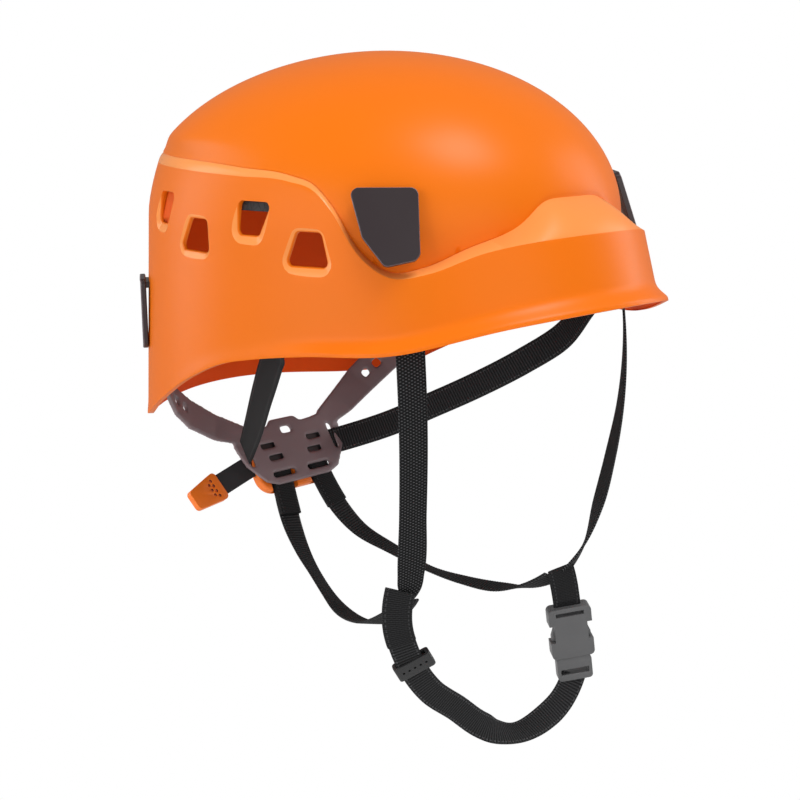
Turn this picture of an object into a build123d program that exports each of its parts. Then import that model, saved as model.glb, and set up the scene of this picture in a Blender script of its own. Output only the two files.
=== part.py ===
from build123d import *
from math import cos, pi, radians, sin, sqrt
import os

os.makedirs("parts", exist_ok=True)

# Millimetres. The front faces -Y, the wearer's right is -X and +Z is up.
# The origin is the middle of the head at headband level.

# Shell: a dome that sits on a lower band, both oval in plan
wall = 2.5
oval_points = 12
dome_length = 117.0
dome_width = 105.0
dome_rise = 75.8
dome_base = 83.3
dome_back = 9.1
dome_power = 2.2
dome_arch = 2.0
dome_egg = 0.12
dome_steps = 6
band_front = 134.5
band_front_lean = 0.35
band_rear = 137.7
band_rear_lean = 0.065
band_width = 104.5
band_width_lean = 0.02
band_power = 2.05
band_egg = 0.11
band_bottom = -30.0
band_top = 116.0
band_shoulder = 84.0
band_shoulder_draw = 7.0
band_steps = 8
brim_reach = 3.5
brim_height = 8.5
brim_start = 52.0
brim_slope = 15.0
# Lower edge of the shell, seen from the side, as (y, z)
rim_line = [(-170, 64), (-140, 55), (-115, 47.7), (-80, 36), (-40, 31.8), (-14, 27.6), (8, 22.5),
            (30, 13.5), (64, -4), (86, -15), (112, -19.6), (150, -16), (170, -13)]
# Step between the dome and the band, seen from the side, as (y, z)
step_line = [(-170, 86.5), (-124, 84), (-104, 78), (-88, 69.5), (-74, 67.5), (-62, 76), (-50, 93),
             (-40, 102), (-28, 105.5), (0, 107.4), (60, 109.3), (170, 109.5)]
step_lap = 2.5
inner_lap = 0.5
# Vents of one side: y, z, top width, bottom width, lean of the top to the front
vents = [(55.0, 88.5, 17.0, 9.5, 6.8), (25.0, 78.5, 12.4, 21.5, 3.8),
         (-12.0, 88.0, 17.3, 10.2, 3.8), (-40.0, 77.0, 11.0, 20.0, 1.0)]
vent_height = 14.5
vent_ring = 2.6
vent_chamfer = 1.3
vent_corner = 2.0

# Blank fairing at the front of the dome
fairing_top_width = 44.0
fairing_bottom_width = 96.0
fairing_top = 99.0

# Liner and pads
fit_gap = 0.3
liner_thickness = 13.0
liner_bottom = 91.0
pad_thickness = 5.0
crown_pad_width = 46.0
crown_pad_length = 120.0
brow_pad_height = 15.0
brow_pad_bottom = 53.0
brow_pad_half_width = 58.0

# Headlamp clips
clip_thickness = 2.6
clip_running_gap = 0.5
clip_corner = 3.2
front_clip_place = (78.8, -73.0, 87.5)
front_clip_facing = (0.713, -0.701)
front_clip_lean = 18.5
front_clip_outline = [(-17, 16), (11.5, 16), (12.5, -12), (10.5, -14.5), (-2, -17.3), (-11.4, -5)]
rear_clip_place = (84.6, 91.7, 35.0)
rear_clip_facing = (0.817, 0.577)
rear_clip_lean = -1.0
rear_clip_outline = [(-12, 17), (12, 17), (10, -15), (7, -17.5), (-7, -17.5), (-10, -15)]
clip_hook_width = 18.0
clip_hook_height = 3.0
clip_hook_drop = 3.2
clip_hook_depth = 9.0
clip_pocket = 12.0
clip_slot_room = 0.8
foam_pocket_room = 2.4

# Webbing
webbing_width = 14.0
webbing_thickness = 1.3

# Nape cradle: a leaning plate with two arms
cradle_thickness = 2.2
cradle_place = (0.0, 83.6, -47.7)
cradle_lean = 34.0
cradle_outline = [(-37, 6), (-32, 16), (-22, 14), (-12, 13), (-8, 16.5), (8, 16.5), (12, 13), (22, 14),
                  (32, 16), (37, 6), (34, -6), (25, -17), (18, -19.5), (-18, -19.5), (-25, -17), (-34, -6)]
cradle_corner = 2.2
cradle_arm_widths = [11.0, 15.5, 18.0, 19.0, 19.0, 19.0]
cradle_pin = (86.6, 77.0, 8.0)
cradle_pin_radius = 2.5
cradle_pin_head = 4.5
cradle_pin_sink = 7.5
slot_width = webbing_width + 1.2
slot_height = 3.0
rib_slots = [(-16, 2.5), (16, 2.5), (-13.5, -4.6), (13.5, -4.6)]
rib_slot_width = 9.4
rib_slot_floor = 0.7
# Holes in each arm: x, y, z and size
arm_holes = [(70.7, 90.0, -12.5, 4.6), (64.4, 92.4, -17.8, 4.0)]

# Adjuster behind the cradle and its pull tab
adjuster_width = 48.0
adjuster_height = 24.0
adjuster_thickness = 5.5
adjuster_shift = 4.0
adjuster_corner = 9.0
adjuster_recess = 3.9
adjuster_slot_depth = 28.0
tail_root = (34.0, -6.5, 0.0)
tail_angle = 15.0
tail_width = 11.5
tail_length = 18.0
tab_length = 20.0
tab_root_width = 16.0
tab_end_width = 10.5
tab_thickness = 3.6
tab_corner = 2.4
tab_socket = 2.5
tab_hole_radius = 0.8
tab_hole_pitch = 2.9
tab_hole_start = 5.0
tab_row_pitch = 2.3

# Buckle
buckle_top = (54.5, -65.3, -113.5)
buckle_axis = (0.17, -0.01, -0.985)
buckle_facing = (-0.62, -0.78, 0.0)
buckle_width = 22.0
buckle_length = 28.0
buckle_thickness = 7.0
buckle_cavity = 16.8
buckle_cavity_depth = 22.0
buckle_cavity_height = 3.8
window_start = 9.0
window_length = 9.5
male_length = 13.0
male_width = 18.0
male_thickness = 6.0
prong_width = 2.4
prong_thickness = 3.0
prong_spread = 5.8
barb_reach = 10.2
barb_height = 2.7
guide_width = 3.0

# Keeper on the chin strap
keeper_share = 0.38
keeper_gap = 0.6
keeper_width = webbing_width + 4.6
keeper_length = 8.0
keeper_thickness = 5.0

# Anchors inside the shell
anchor_width = 20.0
anchor_height = 12.0
strap_lift = 1.3


# Helpers
def oval(front, rear, width, power, egg, inset):
    """Points round one level of the shell, narrower at the front."""
    points = []
    for step in range(oval_points):
        angle = 2 * pi * step / oval_points
        along = -cos(angle)
        across = sin(angle)
        length = (front if along < 0 else rear) - inset
        y = abs(along) ** (2 / power) * length * (1 if along > 0 else -1)
        x = abs(across) ** (2 / power) * (width - inset) * (1 if across > 0 else -1)
        points.append((x * (1 + egg * y / rear), y))
    return points


def dome_level(height, inset):
    """Outline of the dome at one height."""
    climb = max(0.0, (height - dome_base) / (dome_rise - inset))
    share = max(0.0, 1 - climb ** dome_arch) ** (1 / dome_arch)
    length = (dome_length - inset) * share
    width = (dome_width - inset) * share
    return [(x, y + dome_back) for x, y in oval(length, length, width, dome_power, dome_egg * share, 0)]


def band_level(height, inset):
    """Outline of the lower band at one height."""
    front = band_front - band_front_lean * (height - brim_start)
    rear = band_rear - band_rear_lean * (height + 16)
    width = band_width - band_width_lean * (height - 24)
    draw = band_shoulder_draw * max(0.0, (height - band_shoulder) / (band_top - band_shoulder)) ** 1.5
    return oval(front, rear - draw, width - draw, band_power, band_egg, inset)


def band_reach(y, height):
    """Half width of the band at one place."""
    front = band_front - band_front_lean * (height - brim_start)
    rear = band_rear - band_rear_lean * (height + 16)
    draw = band_shoulder_draw * max(0.0, (height - band_shoulder) / (band_top - band_shoulder)) ** 1.5
    length = front if y < 0 else rear - draw
    across = 1 - (abs(y) / length) ** band_power
    width = band_width - band_width_lean * (height - 24) - draw
    return width * across ** (1 / band_power) * (1 + band_egg * y / length)


def stack_levels(heights, level, inset):
    """Solid through the outlines that level gives at these heights."""
    with BuildPart() as solid:
        for height in heights:
            with BuildSketch(Plane.XY.offset(height)):
                with BuildLine():
                    Spline(*level(height, inset), periodic=True)
                make_face()
        loft()
    return solid.part


def dome_heights(bottom, inset):
    """Levels of the dome, closer together near the crown."""
    start = max(0.0, (bottom - dome_base) / (dome_rise - inset))
    steps = range(dome_steps)
    share = [start + (0.997 - start) * sin(pi / 2 * step / (dome_steps - 1)) for step in steps]
    levels = [dome_base + (dome_rise - inset) * value for value in share]
    return [bottom] + levels if bottom < dome_base else levels


def side_region(line, top):
    """Solid that fills the side view between a line of (y, z) and a level, right across the shell."""
    with BuildPart() as region:
        with BuildSketch(Plane.YZ):
            with BuildLine():
                Spline(*line)
                Polyline(line[-1], (line[-1][0], top), (line[0][0], top), line[0])
            make_face()
        extrude(amount=140, both=True)
    return region.part


def brim_solid(inset):
    """Flared lip under the front of the band, merging into it at the sides."""
    tilt = Plane(origin=(0, -band_front, brim_start), x_dir=(1, 0, 0), z_dir=(0, sin(radians(brim_slope)),
                 cos(radians(brim_slope))))
    with BuildPart() as brim:
        profile = [(brim_height, -0.8), (brim_height * 0.45, brim_reach * 0.35), (-6.0, brim_reach + 2.2)]
        for rise, reach in profile:
            with BuildSketch(tilt.offset(rise)):
                with Locations((0, band_front - 4)):
                    Ellipse(band_width - 4 + reach * 0.8 - inset, band_front - 4 + reach - inset)
        loft()
    return brim.part


def webbing(route, widths=None, thickness=webbing_thickness):
    """Flat strip through stations of (point, facing), the facing being where its flat side looks."""
    widths = widths or [webbing_width] * len(route)
    with BuildPart() as strip:
        for index, (point, facing) in enumerate(route):
            before = Vector(*route[max(index - 1, 0)][0])
            after = Vector(*route[min(index + 1, len(route) - 1)][0])
            along = (after - before).normalized()
            across = along.cross(Vector(*facing)).normalized()
            with BuildSketch(Plane(origin=point, x_dir=across, z_dir=along)):
                Rectangle(widths[index], thickness)
        loft(ruled=True)
    return strip.part


def surface_plane(place, facing, lean):
    """Plane on the outside of the right half: x to the front, y up, z outwards."""
    level_out = Vector(-facing[0], facing[1], 0)
    front = Vector(0, 0, 1).cross(level_out)
    out = level_out * cos(radians(lean)) + Vector(0, 0, sin(radians(lean)))
    return Plane(origin=(-place[0], place[1], place[2]), x_dir=front, z_dir=out)


def both_sides(solid):
    """The right-hand solid and its mirror image."""
    with BuildPart() as pair:
        add(solid)
        mirror(solid, about=Plane.YZ)
    return pair.part


def save(solid, name):
    """Label a finished piece and write its file."""
    solid.label = name
    export_step(solid, "parts/" + name + ".step")


# Shell
band_pitch = (band_top - band_bottom) / (band_steps - 1)
band_heights = [band_bottom + band_pitch * step for step in range(band_steps)]
below_step = side_region(step_line, -80)
above_rim = side_region(rim_line, 200)


def shell_solid(inset, lap):
    """Everything inside the shell's outer surface, moved in by inset."""
    dome = stack_levels(dome_heights(60, inset), dome_level, inset)
    band = stack_levels(band_heights, band_level, inset)
    with BuildPart() as solid:
        add(band)
        add(below_step.moved(Location((0, 0, -inset))), mode=Mode.INTERSECT)
        add(dome - below_step.moved(Location((0, 0, -inset - lap))))
        add(brim_solid(inset))
    return solid.part


outer_solid = shell_solid(0, step_lap)
inner_solid = shell_solid(wall, inner_lap)


def vent_outline(top, bottom, lean, ring):
    """Trapezoid with rounded corners, grown by ring."""
    half = vent_height / 2
    shift = lean / 2
    with BuildSketch(mode=Mode.PRIVATE) as outline:
        with BuildLine():
            Polyline((shift - top / 2, half), (shift + top / 2, half), (bottom / 2 - shift, -half),
                     (-bottom / 2 - shift, -half), close=True)
        make_face()
        fillet(outline.vertices(), vent_corner)
        if ring:
            offset(amount=ring)
    return outline.sketch


def vent_cutter(y, z, top, bottom, lean):
    """Hole through the wall with its bevelled ring, on the right side."""
    x = band_reach(y, z)
    turn = band_reach(y - 1, z) - band_reach(y + 1, z)
    size = sqrt(4 + turn ** 2)
    plane = surface_plane((x, y, z), (2 / size, turn / size), 0)
    with BuildPart() as cutter:
        with BuildSketch(plane):
            add(vent_outline(top, bottom, lean, 0))
        extrude(amount=12, both=True)
        with BuildSketch(plane.offset(vent_ring)):
            add(vent_outline(top, bottom, lean, vent_ring + vent_chamfer))
        extrude(amount=-vent_ring - vent_chamfer, taper=45)
    return cutter.part


front_clip_plane = surface_plane(front_clip_place, front_clip_facing, front_clip_lean)
rear_clip_plane = surface_plane(rear_clip_place, rear_clip_facing, rear_clip_lean)


def clip_slot(plane, top, room):
    """Opening behind a clip for its hook, with room all round it."""
    with BuildPart() as slot:
        with BuildSketch(plane):
            with Locations((0, top - clip_hook_drop)):
                Rectangle(clip_hook_width + 2 * room, clip_hook_height + 2 * room)
        extrude(amount=-clip_pocket)
    return slot.part


front_top = front_clip_outline[0][1]
rear_top = rear_clip_outline[0][1]
shell_cuts = [vent_cutter(*vent) for vent in vents]
shell_cuts += [clip_slot(front_clip_plane, front_top, clip_slot_room),
               clip_slot(rear_clip_plane, rear_top, clip_slot_room)]

fairing_foot = 76.0
with BuildPart() as fairing_wedge:
    with BuildSketch(Plane.XY.offset(fairing_foot)):
        with BuildLine():
            half = fairing_bottom_width / 2
            ThreePointArc((-half, -100), (0, -band_front + 9), (half, -100))
            Line((half, -100), (-half, -100))
        make_face()
    with BuildSketch(Plane.XY.offset(fairing_top)):
        with BuildLine():
            half = fairing_top_width / 2
            ThreePointArc((-half, -99), (0, -106), (half, -99))
            Line((half, -99), (-half, -99))
        make_face()
    loft(ruled=True)

with BuildPart() as outer_shell:
    add(outer_solid)
    add(fairing_wedge.part)
    add(inner_solid, mode=Mode.SUBTRACT)
    add(above_rim, mode=Mode.INTERSECT)
    add([both_sides(cut) for cut in shell_cuts], mode=Mode.SUBTRACT)
save(outer_shell.part, "outer_shell")

# Foam
liner_inset = wall + fit_gap
inner_inset = liner_inset + liner_thickness
liner_top = dome_base + dome_rise
fence_bottom = liner_bottom - 2
fence_rise = (liner_top - fence_bottom) / (band_steps - 1)
fence_heights = [fence_bottom + fence_rise * step for step in range(band_steps)]
with BuildPart() as foam_liner:
    add(stack_levels(dome_heights(liner_bottom, liner_inset), dome_level, liner_inset))
    add(stack_levels(fence_heights, band_level, liner_inset), mode=Mode.INTERSECT)
    hollow = stack_levels(dome_heights(liner_bottom - 2, inner_inset), dome_level, inner_inset)
    add(hollow, mode=Mode.SUBTRACT)
    add(both_sides(clip_slot(front_clip_plane, front_top, foam_pocket_room)), mode=Mode.SUBTRACT)
save(foam_liner.part, "foam_liner")

pad_inset = inner_inset + fit_gap
low_inset = pad_inset + pad_thickness
with BuildPart() as crown_pad:
    add(stack_levels(dome_heights(liner_bottom + 12, pad_inset), dome_level, pad_inset))
    add(stack_levels(dome_heights(liner_bottom + 10, low_inset), dome_level, low_inset), mode=Mode.SUBTRACT)
    with BuildSketch(Plane.XY.offset(liner_bottom)):
        with Locations((0, dome_back)):
            RectangleRounded(crown_pad_width, crown_pad_length, 12)
    extrude(amount=80, mode=Mode.INTERSECT)
save(crown_pad.part, "crown_pad")

brow_heights = [brow_pad_bottom, brow_pad_bottom + brow_pad_height]
brow_inset = wall + 5 * fit_gap
with BuildPart() as brow_pad:
    add(stack_levels(brow_heights, band_level, brow_inset))
    add(stack_levels(brow_heights, band_level, brow_inset + pad_thickness), mode=Mode.SUBTRACT)
    with BuildSketch(Plane.XY.offset(brow_pad_bottom)):
        with Locations((0, -band_front)):
            Rectangle(2 * brow_pad_half_width, band_front)
    extrude(amount=brow_pad_height, mode=Mode.INTERSECT)
save(brow_pad.part, "brow_pad")


# Headlamp clips
def clip_solid(plane, outline):
    """Tapered plate with a hook near its top that snaps through the shell."""
    top = outline[0][1]
    with BuildPart() as clip:
        with BuildSketch(plane.offset(clip_running_gap)) as plate:
            with BuildLine():
                Polyline(*outline, close=True)
            make_face()
            fillet(plate.vertices(), clip_corner)
        extrude(amount=clip_thickness)
        with BuildSketch(plane.offset(clip_running_gap)):
            with Locations((0, top - clip_hook_drop)):
                Rectangle(clip_hook_width, clip_hook_height)
        extrude(amount=-clip_hook_depth)
    return clip.part


def mirror_image(solid):
    """The left-hand twin of a right-hand solid."""
    with BuildPart() as twin:
        mirror(solid, about=Plane.YZ)
    return twin.part


front_clip = clip_solid(front_clip_plane, front_clip_outline)
rear_clip = clip_solid(rear_clip_plane, rear_clip_outline)
save(front_clip, "clip_front_right")
save(mirror_image(front_clip), "clip_front_left")
save(rear_clip, "clip_rear_right")
save(mirror_image(rear_clip), "clip_rear_left")

# Nape cradle
lean = radians(cradle_lean)
cradle_plane = Plane(origin=cradle_place, x_dir=(-1, 0, 0), z_dir=(0, cos(lean), -sin(lean)))
pin_plane = Plane(origin=(0, cradle_pin[1], cradle_pin[2]), x_dir=(0, 1, 0), z_dir=(-1, 0, 0))
arm_route = [((-28, 88.5, -38.0), (0.0, 0.83, -0.56)), ((-45, 91.5, -31.0), (-0.2, 0.83, -0.52)),
             ((-60, 92.5, -21.5), (-0.45, 0.78, -0.42)), ((-72, 89.0, -11.5), (-0.7, 0.64, -0.3)),
             ((-82.5, 81.5, -0.5), (-0.88, 0.45, -0.1)), ((-86.2, 76.5, 13.0), (-0.92, 0.38, 0))]

with BuildPart() as nape_cradle:
    with BuildSketch(cradle_plane) as plate:
        with BuildLine():
            Polyline(*cradle_outline, close=True)
        make_face()
        fillet(plate.vertices(), cradle_corner)
    extrude(amount=-cradle_thickness)
    arm = webbing(arm_route, cradle_arm_widths, cradle_thickness)
    add(arm)
    mirror(arm, about=Plane.YZ)
    with BuildSketch(cradle_plane):
        with Locations((-29.5, 0.5), (29.5, 0.5)):
            Rectangle(slot_height, slot_width)
        with Locations((-12, -14), (12, -14)):
            Rectangle(slot_width, slot_height)
        with Locations((0, 9.5)):
            Rectangle(7, 4)
    extrude(amount=12, both=True, mode=Mode.SUBTRACT)
    with BuildSketch(cradle_plane.offset(-rib_slot_floor)):
        with Locations(*rib_slots):
            Rectangle(rib_slot_width, slot_height)
    extrude(amount=-2 * cradle_thickness, mode=Mode.SUBTRACT)
    for side in (-1, 1):
        for x, y, z, size in arm_holes:
            with BuildSketch(Plane(origin=(side * x, y, z), x_dir=(side * 0.75, -0.22, 0.62),
                             z_dir=(side * 0.62, 0.72, -0.3))):
                Rectangle(size, size)
            extrude(amount=cradle_thickness * 2, both=True, mode=Mode.SUBTRACT)
    with BuildSketch(pin_plane):
        Circle(cradle_pin_radius + fit_gap)
    extrude(amount=cradle_pin[0] + 20, both=True, mode=Mode.SUBTRACT)
save(nape_cradle.part, "nape_cradle")

adjuster_plane = cradle_plane.offset(fit_gap)
middle_plane = cradle_plane.offset(fit_gap + adjuster_thickness / 2)
tail_turn = radians(-tail_angle)
tail_plane = Plane(origin=middle_plane.from_local_coords(tail_root), z_dir=middle_plane.z_dir,
                   x_dir=middle_plane.x_dir * cos(tail_turn) + middle_plane.y_dir * sin(tail_turn))
with BuildPart() as nape_adjuster:
    with BuildSketch(adjuster_plane):
        with Locations((adjuster_shift, -10)):
            RectangleRounded(adjuster_width, adjuster_height, adjuster_corner)
    extrude(amount=adjuster_thickness)
    fillet(nape_adjuster.faces().sort_by(Axis.Y)[-1].edges(), 1.2)
    with BuildSketch(tail_plane):
        with Locations((-adjuster_slot_depth / 2 + 10, 0)):
            Rectangle(adjuster_slot_depth + 20, tail_width + 2 * fit_gap)
    extrude(amount=webbing_thickness / 2 + fit_gap, both=True, mode=Mode.SUBTRACT)
    with BuildSketch(adjuster_plane):
        with Locations((-13.5, -18), (13.5, -18)):
            Rectangle(slot_width + 2, 16)
    extrude(amount=adjuster_recess, mode=Mode.SUBTRACT)
save(nape_adjuster.part, "nape_adjuster")

# Pull tab
# Plane x runs along the tail, from the adjuster to the tab.
with BuildPart() as pull_tab:
    with BuildSketch(tail_plane) as grip:
        with BuildLine():
            tail_end = tail_length + tab_length
            Polyline((tail_length, -tab_root_width / 2), (tail_end, -tab_end_width / 2),
                     (tail_end, tab_end_width / 2), (tail_length, tab_root_width / 2), close=True)
        make_face()
        fillet(grip.vertices(), tab_corner)
    extrude(amount=tab_thickness / 2, both=True)
    with BuildSketch(tail_plane):
        for row, holes in enumerate((4, 3)):
            with Locations((tail_length + tab_hole_start + row * tab_row_pitch, 0)):
                with GridLocations(0, tab_hole_pitch, 1, holes):
                    Circle(tab_hole_radius)
    extrude(amount=tab_thickness, both=True, mode=Mode.SUBTRACT)
    with BuildSketch(tail_plane):
        with Locations((tail_length, 0)):
            Rectangle(2 * tab_socket, tail_width + 2 * fit_gap)
    extrude(amount=webbing_thickness / 2 + fit_gap, both=True, mode=Mode.SUBTRACT)
save(pull_tab.part, "pull_tab")

with BuildPart() as pull_strap:
    with BuildSketch(tail_plane):
        tail_run = tail_length + tab_socket - fit_gap + adjuster_slot_depth - 1
        with Locations((tail_length + tab_socket - fit_gap - tail_run / 2, 0)):
            Rectangle(tail_run, tail_width)
    extrude(amount=webbing_thickness / 2, both=True)
save(pull_strap.part, "pull_strap")

# Webbing
# Each station is a point on the strap and where its flat side looks.
headband_right_route = [((-85, -54, 50), (-0.9, -0.4, 0.1)), ((-92, -30, 40), (-0.85, -0.4, 0.25)),
                        ((-94, -18, 33), (-0.75, -0.5, 0.3)), ((-73.5, 17, 3.4), (-0.75, -0.5, 0.3)),
                        ((-53.5, 48.7, -21.4), (-0.75, -0.5, 0.3)), ((-34, 80, -44), (-0.8, -0.35, 0.25))]
headband_left_route = [((82, -63, 50), (0.85, -0.5, 0.1)), ((88, -46, 33), (0.9, -0.4, 0.1)),
                       ((91, -27, 14), (0.97, -0.1, 0.2)), ((82, -10.5, 1), (0.9, 0.3, 0.1)),
                       ((70, 12.5, -14), (0.9, 0.35, 0.1)), ((57.5, 36, -27.5), (0.9, 0.35, 0.1)),
                       ((48, 54, -37.5), (0.85, 0.5, 0.0)), ((34.5, 78.5, -48.5), (0.7, 0.7, -0.1))]
front_right_route = [((-72.5, -76.5, 57.5), (-0.55, -0.83, 0)), ((-73, -79, 36), (-0.55, -0.83, 0)),
                     ((-68, -76, 0), (-0.55, -0.83, 0)), ((-61, -69, -40), (-0.5, -0.86, 0)),
                     ((-55, -62, -72), (-0.5, -0.86, 0)), ((-52.5, -59, -84), (-0.3, -0.95, 0))]
rear_right_route = [((-12, 77.2, -59), (0, 0.83, -0.56)), ((-15, 67, -82), (0, 0.95, -0.3)),
                    ((-18.5, 52.5, -97), (-0.3, 0.7, -0.6)), ((-22, 38, -105.5), (-0.5, 0.35, -0.8)),
                    ((-26, 24, -111), (-0.5, 0.1, -0.9)), ((-31, 8, -114), (-0.3, -0.05, -0.95)),
                    ((-38, -15, -111), (-0.3, -0.3, -0.9)), ((-46, -41, -98), (-0.4, -0.5, -0.8)),
                    ((-52, -56, -86), (-0.3, -0.8, -0.5))]
front_left_route = [((72.5, -76.5, 57.5), (0.55, -0.83, 0)), ((74, -79.5, 36), (0.6, -0.8, 0)),
                    ((73.5, -80, -8), (0.75, -0.66, 0)), ((69, -78, -36), (0.85, -0.52, 0)),
                    ((63.5, -75.5, -60), (0.85, -0.52, 0)), ((57, -72, -82), (0.5, -0.85, 0)),
                    ((52.5, -65, -96), (0.2, -0.95, 0.2))]
rear_left_route = [((13, 77.2, -59), (0, 0.83, -0.56)), ((15, 65, -77), (0, 0.9, -0.4)),
                   ((19.5, 51, -91), (-0.1, 0.7, -0.7)), ((25.5, 31.5, -99.5), (-0.2, 0.5, -0.8)),
                   ((31, 10, -106.5), (-0.3, 0.2, -0.9)), ((37, -10.5, -109.5), (-0.1, 0.1, -0.98)),
                   ((42.5, -31, -109.5), (0, 0, -1)), ((47, -46, -106), (-0.3, -0.4, -0.85)),
                   ((50.5, -58, -99), (-0.4, -0.7, -0.6))]
loop_strap_route = [((50, -64, -95), (-0.6, -0.75, 0.2)), ((52.5, -64.8, -105), (-0.62, -0.78, 0)),
                    ((54.1, -65.2, -112.8), (-0.62, -0.78, 0))]
chin_route = [((-58.5, -58.4, -80), (-0.7, -0.7, 0.1)), ((-60.3, -58.4, -93), (-0.7, -0.7, 0.1)),
              ((-56.2, -58.6, -106.5), (-0.7, -0.7, 0.2)), ((-40, -59.6, -131.6), (-0.7, -0.7, 0.2)),
              ((-22.5, -60.7, -146), (-0.7, -0.7, 0.2)), ((-7, -61.6, -159), (-0.65, -0.65, 0.35)),
              ((7, -62.4, -167.5), (-0.5, -0.5, 0.7)), ((22, -63.5, -172), (-0.4, -0.35, 0.85)),
              ((38, -64.5, -170), (-0.6, -0.5, 0.6)), ((49, -65.2, -166), (-0.68, -0.7, 0.2)),
              ((54.2, -65.4, -160.5), (-0.64, -0.77, 0))]


def two_straps(first, second):
    """Front and rear webbing of one side, joined where they cross in the loop."""
    with BuildPart() as pair:
        add(webbing(first))
        add(webbing(second))
    return pair.part


save(webbing(headband_right_route), "headband_right")
save(webbing(headband_left_route), "headband_left")
save(two_straps(front_right_route, rear_right_route), "v_strap_right")
save(two_straps(front_left_route, rear_left_route), "v_strap_left")
save(webbing(loop_strap_route), "loop_strap")
save(webbing(chin_route), "chin_strap")

# Keeper
keeper_run = Vector(*chin_route[3][0]) - Vector(*chin_route[2][0])
keeper_along = keeper_run.normalized()
keeper_facing = Vector(-0.7, -0.7, 0.2)
keeper_across = keeper_along.cross(keeper_facing).normalized()
keeper_middle = Vector(*chin_route[2][0]) + keeper_run * keeper_share
keeper_plane = Plane(origin=keeper_middle, x_dir=keeper_across, z_dir=keeper_along)
with BuildPart() as strap_keeper:
    with BuildSketch(keeper_plane):
        RectangleRounded(keeper_width, keeper_thickness, 1.6)
        Rectangle(webbing_width + 2 * keeper_gap, webbing_thickness + 2 * keeper_gap, mode=Mode.SUBTRACT)
    extrude(amount=keeper_length / 2, both=True)
save(strap_keeper.part, "strap_keeper")

# Buckle
buckle_down = Vector(*buckle_axis).normalized()
buckle_across = buckle_down.cross(Vector(*buckle_facing)).normalized()
buckle_plane = Plane(origin=buckle_top, x_dir=buckle_across, z_dir=buckle_across.cross(buckle_down))
window_middle = window_start + window_length / 2
with BuildPart() as buckle_female:
    with BuildSketch(buckle_plane):
        with Locations((0, buckle_length / 2)):
            RectangleRounded(buckle_width, buckle_length, 2.5)
    extrude(amount=buckle_thickness / 2, both=True)
    with BuildSketch(buckle_plane):
        with Locations((0, buckle_length - buckle_cavity_depth / 2)):
            Rectangle(buckle_cavity, buckle_cavity_depth)
        with Locations((0, window_middle)):
            Rectangle(buckle_width + 2, window_length)
    extrude(amount=buckle_cavity_height / 2, both=True, mode=Mode.SUBTRACT)
    with BuildSketch(buckle_plane):
        with Locations((0, 3.4)):
            Rectangle(webbing_width + 2 * fit_gap, 2.2)
        for side in (-1, 1):
            with Locations((side * buckle_width / 2, window_middle)):
                Rectangle(5.0, window_length)
    extrude(amount=buckle_thickness, both=True, mode=Mode.SUBTRACT)
save(buckle_female.part, "buckle_female")

male_top = buckle_length + fit_gap
with BuildPart() as buckle_male:
    with BuildSketch(buckle_plane):
        with Locations((0, male_top + male_length / 2)):
            RectangleRounded(male_width, male_length, 2)
    extrude(amount=male_thickness / 2, both=True)
    with BuildSketch(buckle_plane):
        with Locations((0, male_top + male_length - 5)):
            Rectangle(webbing_width + 2 * fit_gap, 3.2)
    extrude(amount=male_thickness, both=True, mode=Mode.SUBTRACT)
    with BuildSketch(buckle_plane):
        with Locations((0, male_top - 8)):
            Rectangle(guide_width, 18)
    extrude(amount=prong_thickness / 2, both=True)
save(buckle_male.part, "buckle_male")

prong_tip = window_start + fit_gap
with BuildPart() as buckle_prongs:
    with BuildSketch(buckle_plane) as prong:
        with BuildLine():
            barb_foot = window_start + window_length - fit_gap
            prong_side = prong_spread + prong_width
            Polyline((prong_spread, male_top), (prong_spread, prong_tip + 1.5),
                     (prong_spread + 1.2, prong_tip), (prong_side, prong_tip + 0.6),
                     (barb_reach, barb_foot - barb_height), (barb_reach, barb_foot),
                     (prong_side, barb_foot), (prong_side, male_top), close=True)
        make_face()
        mirror(about=Plane.YZ)
    extrude(amount=prong_thickness / 2, both=True)
save(buckle_prongs.part, "buckle_prongs")

# Anchors inside the shell
band_lining = stack_levels(band_heights, band_level, wall + fit_gap)


def anchor_blocks(stations, lift):
    """Blocks that carry the top end of each strap on the inside of the shell."""
    with BuildPart() as blocks:
        for point, facing in stations:
            out = Vector(*facing).normalized()
            seat = Vector(*point) + out * (webbing_thickness / 2 + lift)
            with BuildSketch(Plane(origin=seat, x_dir=Vector(0, 0, 1).cross(out), z_dir=out)):
                RectangleRounded(anchor_width, anchor_height, 2)
            extrude(amount=30)
        add(band_lining, mode=Mode.INTERSECT)
    return blocks.part


save(anchor_blocks([front_right_route[0], front_left_route[0]], strap_lift), "strap_anchors")
save(anchor_blocks([headband_right_route[0], headband_left_route[0]], fit_gap), "headband_anchors")

with BuildPart() as cradle_pins:
    for side in (-1, 1):
        seat = (side * (cradle_pin[0] - cradle_pin_sink), cradle_pin[1], cradle_pin[2])
        face = Plane(origin=seat, x_dir=(0, 1, 0), z_dir=(side, 0, 0))
        with BuildSketch(face):
            Circle(cradle_pin_head)
        extrude(amount=2)
        with BuildSketch(face):
            Circle(cradle_pin_radius)
        extrude(amount=30)
    add(band_lining, mode=Mode.INTERSECT)
save(cradle_pins.part, "cradle_pins")
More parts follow.
